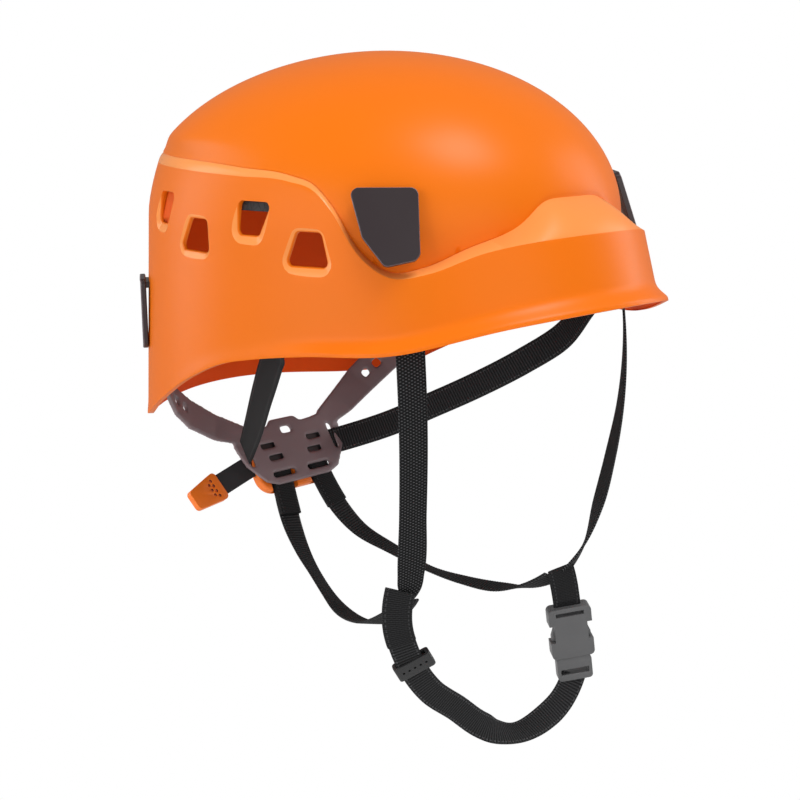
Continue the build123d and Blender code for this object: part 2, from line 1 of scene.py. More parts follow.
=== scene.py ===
import bpy
import bmesh
import math
import numpy as np
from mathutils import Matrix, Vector


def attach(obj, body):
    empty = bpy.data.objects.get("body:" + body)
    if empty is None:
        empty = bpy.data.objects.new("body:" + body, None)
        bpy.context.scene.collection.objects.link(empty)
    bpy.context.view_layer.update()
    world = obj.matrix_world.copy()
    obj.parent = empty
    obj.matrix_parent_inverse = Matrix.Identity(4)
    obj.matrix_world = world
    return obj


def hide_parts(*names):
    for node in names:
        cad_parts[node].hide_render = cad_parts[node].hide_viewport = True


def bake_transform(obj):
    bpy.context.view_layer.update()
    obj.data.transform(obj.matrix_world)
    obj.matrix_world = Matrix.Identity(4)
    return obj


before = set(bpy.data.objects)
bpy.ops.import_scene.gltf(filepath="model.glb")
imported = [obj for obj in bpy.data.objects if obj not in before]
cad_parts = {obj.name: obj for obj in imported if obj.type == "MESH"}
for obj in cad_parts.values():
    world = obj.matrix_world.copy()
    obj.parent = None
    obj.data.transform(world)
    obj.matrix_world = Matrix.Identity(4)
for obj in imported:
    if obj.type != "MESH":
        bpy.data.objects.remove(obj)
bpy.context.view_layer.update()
mm = 0.001


# small helpers, each used by many pieces
def linear(hexColour):
    # sRGB hex to the linear values that sockets take
    channels = [int(hexColour[i:i + 2], 16) / 255 for i in (1, 3, 5)]
    return tuple(c / 12.92 if c <= 0.04045 else ((c + 0.055) / 1.055) ** 2.4 for c in channels) + (1,)


def addNode(tree, kind, settings=None, links=None):
    # one node, its settings (by attribute or socket name) and what feeds its sockets
    node = tree.nodes.new(kind)
    for key, value in (settings or {}).items():
        if isinstance(key, str) and hasattr(node, key):
            setattr(node, key, value)
        else:
            node.inputs[key].default_value = value
    for key, source in (links or {}).items():
        tree.links.new(source, node.inputs[key])
    return node


def newMaterial(name):
    material = bpy.data.materials.new(name)
    material.use_nodes = True
    material.node_tree.nodes.clear()
    return material, material.node_tree


def finishMaterial(tree, shader):
    addNode(tree, "ShaderNodeOutputMaterial", {}, {"Surface": shader.outputs[0]})


def clearSelection():
    if bpy.context.object and bpy.context.object.mode != "OBJECT":
        bpy.ops.object.mode_set(mode="OBJECT")
    bpy.ops.object.select_all(action="DESELECT")


def pick(obj):
    clearSelection()
    obj.select_set(True)
    bpy.context.view_layer.objects.active = obj


def dress(obj, material):
    obj.data.materials.clear()
    obj.data.materials.append(material)


def applyModifier(obj, kind, settings):
    modifier = obj.modifiers.new(kind.lower(), kind)
    for key, value in settings.items():
        setattr(modifier, key, value)
    pick(obj)
    bpy.ops.object.modifier_apply(modifier=modifier.name)


def smooth(obj, degrees=35):
    pick(obj)
    bpy.ops.object.shade_smooth_by_angle(angle=math.radians(degrees))


def editMesh(obj, action):
    # runs action on the mesh as bmesh and writes it back
    mesh = bmesh.new()
    mesh.from_mesh(obj.data)
    action(mesh)
    mesh.to_mesh(obj.data)
    mesh.free()


def outwards(obj):
    pick(obj)
    bpy.ops.object.mode_set(mode="EDIT")
    bpy.ops.mesh.select_all(action="SELECT")
    bpy.ops.mesh.remove_doubles(threshold=0.00001)
    bpy.ops.mesh.normals_make_consistent(inside=False)
    bpy.ops.object.mode_set(mode="OBJECT")


def copyOf(node, name):
    # a merged copy of a CAD node's mesh, free to be shaped
    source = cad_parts[node]
    piece = bpy.data.objects.new(name, source.data.copy())
    bpy.context.scene.collection.objects.link(piece)
    pick(piece)
    bpy.ops.object.mode_set(mode="EDIT")
    bpy.ops.mesh.select_all(action="SELECT")
    bpy.ops.mesh.remove_doubles(threshold=0.00002)
    bpy.ops.mesh.dissolve_limited(angle_limit=math.radians(2))
    bpy.ops.object.mode_set(mode="OBJECT")
    return piece


def moulded(node, name, material, body, radius=0.5, segments=3):
    # a CAD node with its sharp edges rounded as a mould leaves them
    piece = copyOf(node, name)
    applyModifier(piece, "BEVEL", {"width": radius * mm, "segments": segments, "limit_method": "ANGLE",
                                   "angle_limit": math.radians(38)})
    smooth(piece, 40)
    dress(piece, material)
    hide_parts(node)
    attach(piece, body)
    return piece


def ease(value):
    value = np.clip(value, 0, 1)
    return value * value * (3 - 2 * value)


def along(points, places):
    # smooth curve through chosen points, read at places from 0 to 1
    points = np.array(points, float)
    steps = np.linalg.norm(np.diff(points[:, :3], axis=0), axis=1)
    knots = np.concatenate([[0], np.cumsum(steps)]) / steps.sum()
    slopes = np.gradient(points, knots, axis=0, edge_order=2 if len(points) > 2 else 1)
    found = np.clip(np.searchsorted(knots, places, side="right") - 1, 0, len(knots) - 2)
    span = (knots[found + 1] - knots[found])[:, None]
    t = ((places - knots[found]) / span[:, 0])[:, None]
    a, b, p, q = points[found], points[found + 1], slopes[found] * span, slopes[found + 1] * span
    return (2 * t**3 - 3 * t**2 + 1) * a + (t**3 - 2 * t**2 + t) * p + (3 * t**2 - 2 * t**3) * b + (t**3 - t**2) * q


def heightAt(line, y):
    # side-view line of (y, z) read at y
    ys = np.array([p[0] for p in line], float)
    zs = np.array([p[1] for p in line], float)
    slopes = np.gradient(zs, ys)
    found = np.clip(np.searchsorted(ys, y, side="right") - 1, 0, len(ys) - 2)
    span = ys[found + 1] - ys[found]
    t = np.clip((y - ys[found]) / span, 0, 1)
    a, b, p, q = zs[found], zs[found + 1], slopes[found] * span, slopes[found + 1] * span
    return (2 * t**3 - 3 * t**2 + 1) * a + (t**3 - 2 * t**2 + t) * p + (3 * t**2 - 2 * t**3) * b + (t**3 - t**2) * q


# materials
def shellAbs(name, colour, roughness, through):
    # ABS, injection moulded: opaque pigment with a little light passing through, a satin skin and a faint ripple
    material, tree = newMaterial(name)
    place = addNode(tree, "ShaderNodeTexCoord")
    cloud = addNode(tree, "ShaderNodeTexNoise", {"Scale": 14, "Detail": 3}, {"Vector": place.outputs["Object"]})
    deep = [c * 0.95 for c in linear(colour)[:3]] + [1]
    tint = addNode(tree, "ShaderNodeMix", {"data_type": "RGBA", 6: linear(colour), 7: deep},
                   {0: cloud.outputs["Fac"]})
    ripple = addNode(tree, "ShaderNodeTexNoise", {"Scale": 110, "Detail": 2}, {"Vector": place.outputs["Object"]})
    bump = addNode(tree, "ShaderNodeBump", {"Strength": 0.015, "Distance": 0.001}, {"Height": ripple.outputs["Fac"]})
    skin = addNode(tree, "ShaderNodeBsdfPrincipled",
                   {"Roughness": roughness, "IOR": 1.45, "Specular IOR Level": 0.22},
                   {"Base Color": tint.outputs[2], "Normal": bump.outputs["Normal"]})
    passing = addNode(tree, "ShaderNodeBsdfTranslucent", {"Color": linear("#FF4A10")})
    shader = addNode(tree, "ShaderNodeMixShader", {0: through}, {1: skin.outputs[0], 2: passing.outputs[0]})
    finishMaterial(tree, shader)
    return material


def plainPlastic(name, colour, roughness, grain, strength, ior=1.5):
    # moulded plastic with a fine spark-eroded grain; grain is its spacing in millimetres
    material, tree = newMaterial(name)
    place = addNode(tree, "ShaderNodeTexCoord")
    cloud = addNode(tree, "ShaderNodeTexNoise", {"Scale": 60, "Detail": 4}, {"Vector": place.outputs["Object"]})
    dark = [c * 0.85 for c in linear(colour)[:3]] + [1]
    tint = addNode(tree, "ShaderNodeMix", {"data_type": "RGBA", 6: linear(colour), 7: dark},
                   {0: cloud.outputs["Fac"]})
    grains = addNode(tree, "ShaderNodeTexNoise", {"Scale": 1000 / grain, "Detail": 2},
                     {"Vector": place.outputs["Object"]})
    bump = addNode(tree, "ShaderNodeBump", {"Strength": strength, "Distance": 0.0003},
                   {"Height": grains.outputs["Fac"]})
    wear = addNode(tree, "ShaderNodeMapRange", {"To Min": roughness - 0.05, "To Max": roughness + 0.07},
                   {"Value": cloud.outputs["Fac"]})
    shader = addNode(tree, "ShaderNodeBsdfPrincipled", {"IOR": ior},
                     {"Base Color": tint.outputs[2], "Normal": bump.outputs["Normal"],
                      "Roughness": wear.outputs["Result"]})
    finishMaterial(tree, shader)
    return material


def wovenPolyester(name, ribPitch, ribStrength, dotStrength, stitching, thread="#6E6E70", ground="#0A0A0B"):
    # flat polyester webbing: ribs across it and short floats of lighter yarn, staggered; UV is in millimetres
    material, tree = newMaterial(name)
    place = addNode(tree, "ShaderNodeUVMap", {"uv_map": "weave"})
    parts = addNode(tree, "ShaderNodeSeparateXYZ", {}, {0: place.outputs[0]})
    waves = []
    for axis, pitch in (("X", 2.5), ("Y", 1.5), ("Y", ribPitch), ("Y", 2.2)):
        turned = addNode(tree, "ShaderNodeMath", {"operation": "MULTIPLY", 1: 2 * math.pi / pitch},
                         {0: parts.outputs[axis]})
        waves.append(addNode(tree, "ShaderNodeMath", {"operation": "COSINE"}, {0: turned.outputs[0]}))
    lattice = addNode(tree, "ShaderNodeMath", {"operation": "MULTIPLY"}, {0: waves[0].outputs[0],
                                                                          1: waves[1].outputs[0]})
    dots = addNode(tree, "ShaderNodeMapRange", {"From Min": 0.3, "From Max": 0.75}, {"Value": lattice.outputs[0]})
    ribs = addNode(tree, "ShaderNodeMath", {"operation": "MULTIPLY_ADD", 1: 0.5 * ribStrength,
                                            2: 0.5 * ribStrength}, {0: waves[2].outputs[0]})
    share = addNode(tree, "ShaderNodeMath", {"operation": "MULTIPLY_ADD", 1: dotStrength},
                    {0: dots.outputs[0], 2: ribs.outputs[0]})
    # a row of stitches along each edge
    offset = addNode(tree, "ShaderNodeMath", {"operation": "ABSOLUTE"}, {0: parts.outputs["X"]})
    fromRow = addNode(tree, "ShaderNodeMath", {"operation": "SUBTRACT", 1: 5.3}, {0: offset.outputs[0]})
    fromRow = addNode(tree, "ShaderNodeMath", {"operation": "ABSOLUTE"}, {0: fromRow.outputs[0]})
    onRow = addNode(tree, "ShaderNodeMapRange", {"From Min": 0.4, "From Max": 0.2}, {"Value": fromRow.outputs[0]})
    dash = addNode(tree, "ShaderNodeMapRange", {"From Min": -0.3, "From Max": 0.1, "To Max": stitching},
                   {"Value": waves[3].outputs[0]})
    share = addNode(tree, "ShaderNodeMath", {"operation": "MULTIPLY_ADD"},
                    {0: onRow.outputs[0], 1: dash.outputs[0], 2: share.outputs[0]})
    fuzz = addNode(tree, "ShaderNodeTexNoise", {"Scale": 1.7, "Detail": 4}, {"Vector": place.outputs[0]})
    worn = addNode(tree, "ShaderNodeMapRange", {"To Min": 0.45, "To Max": 1.35}, {"Value": fuzz.outputs["Fac"]})
    mixed = addNode(tree, "ShaderNodeMath", {"operation": "MULTIPLY", "use_clamp": True},
                    {0: share.outputs[0], 1: worn.outputs["Result"]})
    tint = addNode(tree, "ShaderNodeMix", {"data_type": "RGBA", 6: linear(ground), 7: linear(thread)},
                   {0: mixed.outputs[0]})
    bump = addNode(tree, "ShaderNodeBump", {"Strength": 0.5, "Distance": 0.0003}, {"Height": share.outputs[0]})
    shader = addNode(tree, "ShaderNodeBsdfPrincipled", {"Roughness": 0.8, "IOR": 1.4, "Specular IOR Level": 0.3},
                     {"Base Color": tint.outputs[2], "Normal": bump.outputs["Normal"]})
    finishMaterial(tree, shader)
    return material


def knittedPolyester():
    # brushed knit over foam: a short pile that scatters light at the edges
    material, tree = newMaterial("polyesterKnitBrushed")
    place = addNode(tree, "ShaderNodeTexCoord")
    loops = addNode(tree, "ShaderNodeTexVoronoi", {"Scale": 1000 / 1.6}, {"Vector": place.outputs["Object"]})
    tint = addNode(tree, "ShaderNodeMix", {"data_type": "RGBA", 6: linear("#1B1B1C"), 7: linear("#333335")},
                   {0: loops.outputs["Distance"]})
    bump = addNode(tree, "ShaderNodeBump", {"Strength": 0.6, "Distance": 0.0005, "invert": True},
                   {"Height": loops.outputs["Distance"]})
    shader = addNode(tree, "ShaderNodeBsdfPrincipled", {"Roughness": 0.9, "Sheen Weight": 0.35,
                                                        "Sheen Roughness": 0.5},
                     {"Base Color": tint.outputs[2], "Normal": bump.outputs["Normal"]})
    finishMaterial(tree, shader)
    return material


def expandedPolystyrene():
    # EPS, steam moulded: beads about 3 mm across, pressed flat at the skin
    material, tree = newMaterial("polystyreneExpandedBlack")
    place = addNode(tree, "ShaderNodeTexCoord")
    beads = addNode(tree, "ShaderNodeTexVoronoi", {"Scale": 1000 / 3.2, "feature": "DISTANCE_TO_EDGE"},
                    {"Vector": place.outputs["Object"]})
    edge = addNode(tree, "ShaderNodeMapRange", {"From Max": 0.08}, {"Value": beads.outputs["Distance"]})
    tint = addNode(tree, "ShaderNodeMix", {"data_type": "RGBA", 6: linear("#0E0E0F"), 7: linear("#1D1D1F")},
                   {0: edge.outputs["Result"]})
    bump = addNode(tree, "ShaderNodeBump", {"Strength": 0.5, "Distance": 0.0004}, {"Height": edge.outputs["Result"]})
    shader = addNode(tree, "ShaderNodeBsdfPrincipled", {"Roughness": 0.65},
                     {"Base Color": tint.outputs[2], "Normal": bump.outputs["Normal"]})
    finishMaterial(tree, shader)
    return material


orangeShell = shellAbs("absInjectionMouldedOrange", "#EE750A", 0.38, 0.1)
# painted highlight: a lighter orange for the vents' mouths and the ledge, where light catches their edges
lipPaintedHighlight = shellAbs("absLipPaintedHighlight", "#F89A50", 0.25, 0.08)
# painted highlight: a lighter orange for the ledge's front part below the fairing, which faces up into the light
panelPaintedHighlight = shellAbs("absPanelPaintedHighlight", "#F5944A", 0.34, 0.08)
# painted shade: a redder copy of the shell's orange for its inside, standing in for the reddened shade there
shellInsidePaintedShade = shellAbs("absInsidePaintedShade", "#F0600C", 0.6, 0.3)
blackFoam = expandedPolystyrene()
padKnit = knittedPolyester()
clipNylon = plainPlastic("nylonMouldedPlum", "#2B2023", 0.34, 0.5, 0.10)
# painted highlight: a lighter plum for the clips' bevels, where they reflect the bright surroundings
clipEdgePaintedHighlight = plainPlastic("nylonPlumEdgePaintedHighlight", "#6A5E64", 0.25, 0.5, 0.05)
cradleNylon = plainPlastic("polypropyleneMouldedPlum", "#8A787B", 0.42, 0.6, 0.12)
tabNylon = plainPlastic("nylonMouldedOrange", "#FF7E1E", 0.42, 0.5, 0.10)
# real black acetal for the keeper and anchors, and also painted shade: the black walls of the cradle's recesses and of
# the tab's holes
blackAcetalAndPaintedShade = plainPlastic("acetalMouldedBlackAndPaintedShade", "#232324", 0.4, 0.5, 0.10)
buckleAcetal = plainPlastic("acetalMouldedGrey", "#5E5E5F", 0.34, 0.45, 0.22)
dottedWebbing = wovenPolyester("polyesterWovenDotted", 1.5, 0.02, 0.6, 0.0)
ribbedWebbing = wovenPolyester("polyesterWovenRibbed", 1.5, 0.2, 0.05, 0.35)
plainWebbing = wovenPolyester("polyesterWovenPlain", 0.9, 0.12, 0.05, 0.2)
print("materials made")


# shell
shell = {
    "wall": 2.5, "columns": 288, "domeRows": 50, "ledgeRows": 10, "bandRows": 36,
    "domeLength": 117.0, "domeWidth": 105.0, "domeRise": 75.8, "domeBase": 83.3, "domeBack": 9.1,
    "domePower": 2.2, "domeEgg": 0.12,
    "bandFront": 134.5, "bandFrontLean": 0.35, "bandRear": 137.7, "bandRearLean": 0.065, "bandWidth": 104.5,
    "bandWidthLean": 0.02, "bandPower": 2.05, "bandEgg": 0.11, "bandTop": 116.0, "shoulder": 84.0,
    "shoulderDraw": 7.0, "brimStart": 52.0,
    "rimLine": [(-170, 64), (-140, 55), (-115, 47.7), (-80, 36), (-40, 31.8), (-14, 27.6), (8, 22.5), (30, 13.5),
                (64, -4), (86, -15), (112, -19.6), (150, -16), (170, -13)],
    "stepLine": [(-170, 86.5), (-124, 84), (-104, 78), (-88, 69.5), (-74, 67.5), (-62, 76), (-50, 93), (-40, 102),
                 (-28, 105.5), (0, 107.4), (60, 109.3), (170, 109.5)],
    # the dome ends above the step line and the band starts below it, with a groove between them
    "ledgeFront": 0.8, "ledgeRear": 2.5, "ledgeWidthFront": 1.1, "ledgeWidthRear": 2.6, "groove": 0.35, "drawIn": 9.0,
    "flareHeight": 9.5, "flareFront": 4.4, "flareSide": 0.6, "flareRear": 0.3,
    "fairingTop": 99.0, "fairingHalf": 31.0, "fairingPower": 6, "ledgeHighlightFront": 0.93, "rimRadius": 1.2,
}


def solveRadius(outline, turn, height):
    # distance from the dome's axis to an outline, by halving
    low = np.zeros_like(turn * height)
    high = low + 190
    for _ in range(40):
        middle = (low + high) / 2
        inside = outline(middle * np.sin(turn), -middle * np.cos(turn), height) < 1
        low = np.where(inside, middle, low)
        high = np.where(inside, high, middle)
    return (low + high) / 2


def domeOutline(x, y, z):
    s = shell
    climb = np.clip((z - s["domeBase"]) / s["domeRise"], 0, 0.9999)
    share = np.sqrt(1 - climb**2)
    length = s["domeLength"] * share
    width = s["domeWidth"] * share * (1 + s["domeEgg"] * share * y / length)
    return np.abs(x / width) ** s["domePower"] + np.abs(y / length) ** s["domePower"]


def bandOutline(x, y, z):
    s = shell
    y = y + s["domeBack"]
    draw = s["shoulderDraw"] * np.clip((z - s["shoulder"]) / (s["bandTop"] - s["shoulder"]), 0, 2) ** 1.5
    front = s["bandFront"] - s["bandFrontLean"] * (z - s["brimStart"])
    rear = s["bandRear"] - s["bandRearLean"] * (z + 16) - draw
    width = (s["bandWidth"] - s["bandWidthLean"] * (z - 24) - draw) * (1 + s["bandEgg"] * y / rear)
    return np.abs(x / width) ** s["bandPower"] + np.abs(y / np.where(y < 0, front, rear)) ** s["bandPower"]


def levelWhere(line, radiusOf, turn):
    # height at which a side-view line meets the surface in each direction
    level = np.full_like(turn, 60.0)
    for _ in range(60):
        radius = radiusOf(turn, level)
        target = heightAt(line, shell["domeBack"] - radius * np.cos(turn))
        level = level + 0.35 * (target - level)
    return level


def shellPoints():
    # rows of points from the crown down to the rim, in millimetres
    s = shell
    turn = np.arange(s["columns"]) * 2 * math.pi / s["columns"]
    dome = lambda t, z: solveRadius(domeOutline, t, z)
    band = lambda t, z: solveRadius(bandOutline, t, z)
    step = levelWhere(s["stepLine"], band, turn)
    rim = levelWhere(s["rimLine"], band, turn)
    rear = ease(0.75 - np.cos(turn))
    ledge = s["ledgeFront"] + (s["ledgeRear"] - s["ledgeFront"]) * rear
    ledgeWidth = s["ledgeWidthFront"] + (s["ledgeWidthRear"] - s["ledgeWidthFront"]) * rear
    edge = band(turn, step - ledge)
    across = np.abs(edge * np.sin(turn))
    climb = np.where(np.cos(turn) > 0, 1 / (1 + (across / s["fairingHalf"]) ** s["fairingPower"]), 0)
    panel = ease(climb * 4)
    start = step + ledge + (s["fairingTop"] - step - ledge) * climb
    step = step - ledge
    rows = []
    size = 95.0
    lowest = (start - s["domeBase"]) / s["domeRise"]
    total = size * (math.pi / 2 - np.arcsin(np.clip(lowest, 0, 1))) + np.clip(s["domeBase"] - start, 0, None)
    for row in range(1, s["domeRows"] + 1):
        run = total * row / s["domeRows"]
        angle = np.clip(math.pi / 2 - run / size, 0, None)
        z = np.where(run < size * math.pi / 2, s["domeBase"] + s["domeRise"] * np.sin(angle),
                     s["domeBase"] - (run - size * math.pi / 2))
        rows.append((dome(turn, z), z))
    topRadius = dome(turn, start)
    # the dome draws in over its last few millimetres, so that the band stands out below it as a ledge
    excess = np.clip(topRadius - edge + ledgeWidth * (1 - panel), 0, None)
    for index, (radius, z) in enumerate(rows):
        rows[index] = (radius - excess * ease(1 - (z - start) / s["drawIn"]), z)
    topRadius = topRadius - excess
    cornerRadius = topRadius - s["groove"] * (1 - panel) * (1 - rear)
    cornerLevel = start - 0.12 * (start - step)
    for row in range(1, s["ledgeRows"] + 1):
        t = row / s["ledgeRows"]
        if t <= 0.2:
            radius = topRadius + (cornerRadius - topRadius) * t * 5
            z = start + (cornerLevel - start) * t * 5
        else:
            t = (t - 0.2) / 0.8
            radius = cornerRadius + (edge - cornerRadius) * (0.6 * t + 0.4 * math.sin(t * math.pi / 2))
            z = cornerLevel + (step - cornerLevel) * (0.6 * t + 0.4 * (1 - math.cos(t * math.pi / 2)))
        rows.append((radius, z))
    flare = s["flareSide"] + (s["flareFront"] - s["flareSide"]) * ease(np.cos(turn) * 1.6 - 0.1)
    flare = flare + (s["flareRear"] - s["flareSide"]) * ease(-np.cos(turn) * 2 - 0.6)
    for row in range(1, s["bandRows"] + 1):
        t = row / s["bandRows"]
        t = 1 - (1 - t) ** 1.25
        z = step + (rim - step) * t
        near = np.clip(1.15 - 1.15 * (z - rim) / s["flareHeight"], 0, 1)
        rows.append((band(turn, z) + flare * np.sin(near**3 * math.pi / 2), z))
    return turn, rows


def buildShell():
    s = shell
    turn, rows = shellPoints()
    count = len(rows)
    bpy.ops.mesh.primitive_uv_sphere_add(segments=s["columns"], ring_count=count + 2, radius=1)
    piece = bpy.context.object
    piece.name = "outerShell"
    for material in (orangeShell, lipPaintedHighlight, panelPaintedHighlight, shellInsidePaintedShade):
        piece.data.materials.append(material)
    points = np.zeros((len(piece.data.vertices), 3))
    piece.data.vertices.foreach_get("co", points.ravel())
    # the sphere's own rings are found by height, and its columns by direction
    rings = np.rint((count + 2) * np.arccos(np.clip(points[:, 2], -1, 1)) / math.pi).astype(int)
    columns = np.rint(np.arctan2(points[:, 0], -points[:, 1]) / (2 * math.pi) * s["columns"]).astype(int) % s["columns"]
    for index in range(len(points)):
        if rings[index] == 0:
            points[index] = (0, s["domeBack"], s["domeBase"] + s["domeRise"])
        elif rings[index] <= count:
            radius, z = rows[rings[index] - 1]
            column = columns[index]
            points[index] = (radius[column] * math.sin(turn[column]),
                             s["domeBack"] - radius[column] * math.cos(turn[column]), z[column])
    piece.data.vertices.foreach_set("co", (points * mm).ravel())
    low = [int(i) for i in np.nonzero(rings > count)[0]]
    # the ledge is painted with the lighter lip orange as a painted highlight, and its front part with the lighter panel
    # orange, also a painted highlight
    for face in piece.data.polygons:
        corners = list(face.vertices)
        level = rings[corners]
        facing = turn[columns[corners]]
        onLedge = level.min() >= s["domeRows"] + 2 and level.max() <= s["domeRows"] + s["ledgeRows"]
        if onLedge:
            face.material_index = 1 if np.cos(facing).max() < s["ledgeHighlightFront"] else 2

    def openBottom(mesh):
        mesh.verts.ensure_lookup_table()
        bmesh.ops.delete(mesh, geom=[mesh.verts[i] for i in low], context="VERTS")

    editMesh(piece, openBottom)
    outwards(piece)
    # the inside faces take the redder inside copy, a painted shade
    applyModifier(piece, "SOLIDIFY", {"thickness": s["wall"] * mm, "offset": -1, "use_even_offset": True,
                                     "material_offset": 3})
    applyModifier(piece, "BEVEL", {"width": s["rimRadius"] * mm, "segments": 3, "limit_method": "ANGLE",
                                   "angle_limit": math.radians(60)})
    return piece


# vents cut through the shell
vents = {
    "places": [(55.0, 88.5, 17.0, 9.5, 6.8), (25.0, 78.5, 12.4, 21.5, 3.8), (-11.0, 88.0, 18.5, 11.5, 3.8),
               (-40.0, 76.5, 11.5, 20.5, 1.0)],
    "height": 14.5, "corner": 2.2, "cornerPoints": 6,
    # depth below the surface and growth of each ring of the mouth
    "mouth": [(2.5, 8.2), (-1.0, 0.6), (-1.35, 0.2), (-1.9, 0.0), (-14, 0.0)],
}


def roundedOutline(corners, radius, grow, count):
    # points round a convex outline whose corners are arcs, grown outwards
    corners = np.array(corners, float)
    centre = corners.mean(axis=0)
    found = []
    for before, here, after in zip(np.roll(corners, 1, 0), corners, np.roll(corners, -1, 0)):
        sides = []
        for a, b in ((before, here), (here, after)):
            out = np.array([b[1] - a[1], a[0] - b[0]]) / np.linalg.norm(b - a)
            sides.append(out * np.sign(out @ (here - centre)))
        middle = (sides[0] + sides[1]) / np.linalg.norm(sides[0] + sides[1])
        pivot = here - middle * radius / (middle @ sides[0])
        for share in np.linspace(0, 1, count):
            way = sides[0] * (1 - share) + sides[1] * share
            found.append(pivot + way / np.linalg.norm(way) * (radius + grow))
    return np.array(found)


def surfaceFrame(place, facing, lean, side):
    # origin and x, y, z directions of a plane on the shell; side is -1 for the wearer's right
    level = np.array([side * facing[0], facing[1], 0.0])
    out = level * math.cos(math.radians(lean)) + np.array([0, 0, math.sin(math.radians(lean))])
    out = out / np.linalg.norm(out)
    front = np.cross([0, 0, 1], level) * -side
    front = front / np.linalg.norm(front)
    up = np.cross(out, front) * -side
    return np.array([side * place[0], place[1], place[2]]), front, up, out


def ringStack(name, rings):
    # a filled circle extruded ring by ring, each ring moved to its own outline
    bpy.ops.mesh.primitive_circle_add(vertices=len(rings[0]), fill_type="NGON")
    piece = bpy.context.object
    piece.name = name
    bpy.ops.object.mode_set(mode="EDIT")
    for index, ring in enumerate(rings):
        if index:
            bpy.ops.mesh.extrude_region()
        mesh = bmesh.from_edit_mesh(piece.data)
        cap = [face for face in mesh.faces if face.select][0]
        for vertex, point in zip(cap.verts, ring):
            vertex.co = Vector(point) * mm
        bmesh.update_edit_mesh(piece.data)
    bpy.ops.object.mode_set(mode="OBJECT")
    outwards(piece)
    return piece


def bandSide(y, z):
    # half width of the band's outside at one place
    s = shell
    draw = s["shoulderDraw"] * max(0, (z - s["shoulder"]) / (s["bandTop"] - s["shoulder"])) ** 1.5
    front = s["bandFront"] - s["bandFrontLean"] * (z - s["brimStart"])
    rear = s["bandRear"] - s["bandRearLean"] * (z + 16) - draw
    across = 1 - (abs(y) / (front if y < 0 else rear)) ** s["bandPower"]
    width = (s["bandWidth"] - s["bandWidthLean"] * (z - 24) - draw) * (1 + s["bandEgg"] * y / rear)
    return width * across ** (1 / s["bandPower"])


def ventCutter(place, side):
    y, z, top, bottom, lean = place
    turn = (bandSide(y - 1, z) - bandSide(y + 1, z)) / 2
    size = math.hypot(1, turn)
    origin, front, up, out = surfaceFrame((bandSide(y, z), y, z), (1 / size, turn / size), 0, side)
    half = vents["height"] / 2
    corners = [(lean / 2 - top / 2, half), (lean / 2 + top / 2, half), (bottom / 2 - lean / 2, -half),
               (-bottom / 2 - lean / 2, -half)]
    rings = []
    for depth, grow in vents["mouth"]:
        outline = roundedOutline(corners, vents["corner"], grow, vents["cornerPoints"])
        rings.append([origin + front * p[0] + up * p[1] + out * depth for p in outline])
    cutter = ringStack("ventCutter", rings)
    cutter.data.materials.append(orangeShell)
    cutter.data.materials.append(lipPaintedHighlight)
    # the mouth's ring of faces takes the lighter orange, a painted highlight
    for face in cutter.data.polygons:
        depth = (np.array(face.center) / mm - origin) @ out
        face.material_index = int(-0.95 < depth < 2.4)
    return cutter


def cutAway(piece, cutter):
    modifier = piece.modifiers.new("cut", "BOOLEAN")
    modifier.operation = "DIFFERENCE"
    modifier.solver = "EXACT"
    modifier.object = cutter
    pick(piece)
    bpy.ops.object.modifier_apply(modifier=modifier.name)
    bpy.data.objects.remove(cutter)


outerShell = buildShell()
for place in vents["places"]:
    for side in (-1, 1):
        cutAway(outerShell, ventCutter(place, side))
smooth(outerShell, 24)
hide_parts("outer_shell")
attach(outerShell, "helmet")
print("shell made", len(outerShell.data.vertices))


# foam liner
liner = moulded("foam_liner", "foamLiner", blackFoam, "helmet", 1.5)

# pads
pads = {"voxel": 4.5, "shrink": 1.2, "pressure": 4.0, "frames": 20, "swell": 2.0,
        "pieces": {"crown_pad": ("crownPad", 0.6), "brow_pad": ("browPad", 0.5)}}


def inflate(piece):
    # cloth blown up by its own air, with no point going further than the swell allows
    before = np.zeros(len(piece.data.vertices) * 3)
    piece.data.vertices.foreach_get("co", before)
    cloth = piece.modifiers.new("air", "CLOTH")
    cloth.settings.use_pressure = True
    cloth.settings.uniform_pressure_force = pads["pressure"]
    cloth.settings.effector_weights.gravity = 0
    cloth.point_cache.frame_end = pads["frames"]
    for step in range(1, pads["frames"] + 1):
        bpy.context.scene.frame_set(step)
    pick(piece)
    bpy.ops.object.modifier_apply(modifier=cloth.name)
    bpy.context.scene.frame_set(1)
    after = np.zeros_like(before)
    piece.data.vertices.foreach_get("co", after)
    move = (after - before).reshape(-1, 3)
    far = np.linalg.norm(move, axis=1)[:, None]
    move = move * np.minimum(1, pads["swell"] * mm / np.maximum(far, 1e-9))
    piece.data.vertices.foreach_set("co", before + move.ravel())


def padFromSolid(node, name):
    # the solid is remeshed, drawn in a little and blown up as a cloth bag
    piece = copyOf(node, name)
    applyModifier(piece, "REMESH", {"mode": "VOXEL", "voxel_size": pads["voxel"] * mm / 2})
    applyModifier(piece, "DISPLACE", {"strength": -pads["shrink"] * mm, "mid_level": 0})
    applyModifier(piece, "REMESH", {"mode": "VOXEL", "voxel_size": pads["voxel"] * mm * 0.6})
    inflate(piece)
    applyModifier(piece, "SUBSURF", {"levels": 1})
    dress(piece, padKnit)
    smooth(piece, 80)
    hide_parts(node)
    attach(piece, "helmet")
    return piece


for node, (name, fill) in pads["pieces"].items():
    padFromSolid(node, name)
print("liner and pads made")


